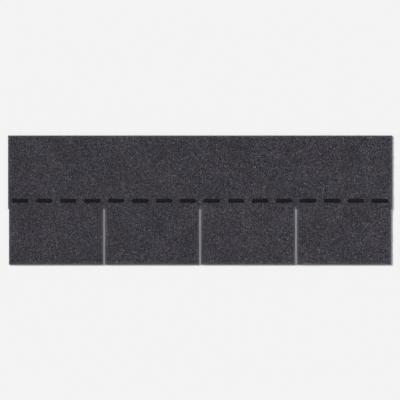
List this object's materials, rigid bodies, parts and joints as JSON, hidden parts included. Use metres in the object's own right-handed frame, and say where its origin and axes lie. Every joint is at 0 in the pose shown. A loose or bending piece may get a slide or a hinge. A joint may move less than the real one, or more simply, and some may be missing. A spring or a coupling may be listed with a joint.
{
  "type": "asphalt strip shingle",
  "caption": "Flat asphalt roofing strip, slotted from its lower edge into rectangular tabs, with a mineral granule face and a row of sealant dashes; laid in overlapping courses to shed rain.",
  "frame": {"origin": "middle of the back face, on the surface that the strip lies on", "axes": "+X along the course, +Y from the slotted butt edge up to the top edge, +Z out of the granule face"},
  "size_m": [1, 0.336, 0.0038],
  "materials": {
    "granule_face": "matte",
    "bitumen_sealant": "satin"
  },
  "bodies": {
    "root": {"shingle_sheet": "granule_face", "sealant_dashes": "bitumen_sealant"}
  },
  "joints": []
}
